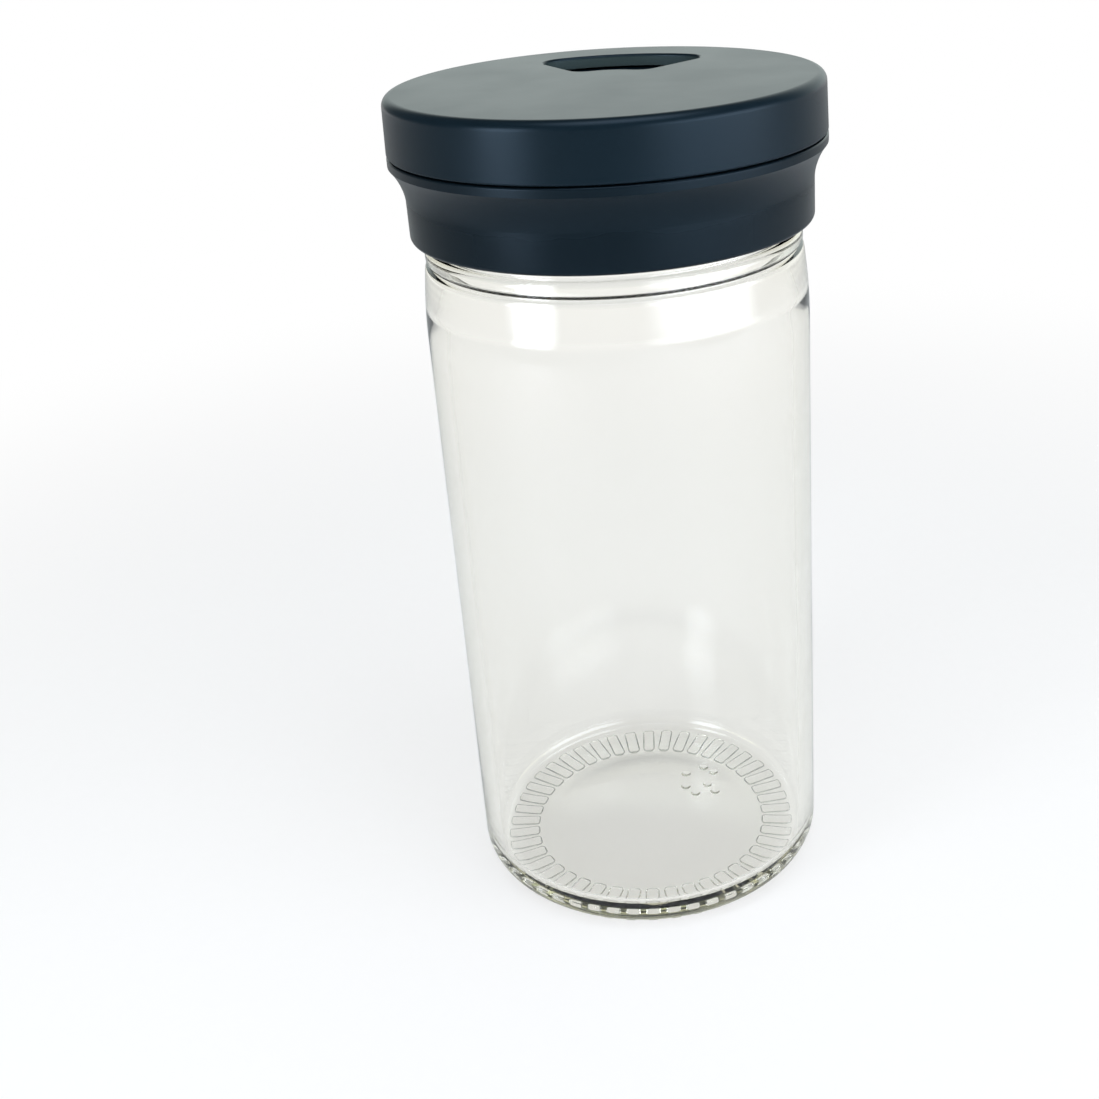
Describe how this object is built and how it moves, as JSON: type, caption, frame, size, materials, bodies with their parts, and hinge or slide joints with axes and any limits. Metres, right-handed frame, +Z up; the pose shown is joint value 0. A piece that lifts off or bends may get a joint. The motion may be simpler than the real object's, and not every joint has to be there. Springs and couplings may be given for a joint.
{
  "type": "spice jar",
  "caption": "Clear glass spice jar with a ribbed base and a matt black screw lid whose flat cap turns over a sifter deck to close, sprinkle or pour.",
  "frame": {"origin": "centre of the jar's base, on the surface that it stands on", "axes": "+Z up along the jar's axis, +Y from the axis towards the middle of the cap's window when the lid is shut"},
  "size_m": [0.055, 0.055, 0.112],
  "materials": {
    "glass": "clear moulded soda-lime glass",
    "seal": "milky silicone",
    "collar_plastic": "satin black moulded polypropylene",
    "cap_plastic": "matt black moulded polypropylene"
  },
  "bodies": {
    "jar": {"glass_jar": "glass"},
    "seal": {"mouth_gasket": "seal"},
    "collar": {"screw_collar": "collar_plastic"},
    "cap": {"rotary_cap": "cap_plastic"}
  },
  "joints": [
    {"name": "lid_lift", "type": "slide", "parent": "jar", "child": "seal", "axis": [0, 0, 1], "range_m": [0, 0.0135]},
    {"name": "lid_turn", "type": "hinge", "parent": "seal", "child": "collar", "pos_m": [0, 0, 0.1], "axis": [0, 0, 1], "range_deg": [0, 1080]},
    {"name": "cap_turn", "type": "hinge", "parent": "collar", "child": "cap", "pos_m": [0, 0, 0.108], "axis": [0, 0, 1], "range_deg": [0, 240]}
  ],
  "couplings": [
    {"joint": "lid_lift", "follows": "lid_turn", "m_per_rad": 0.0007162}
  ]
}
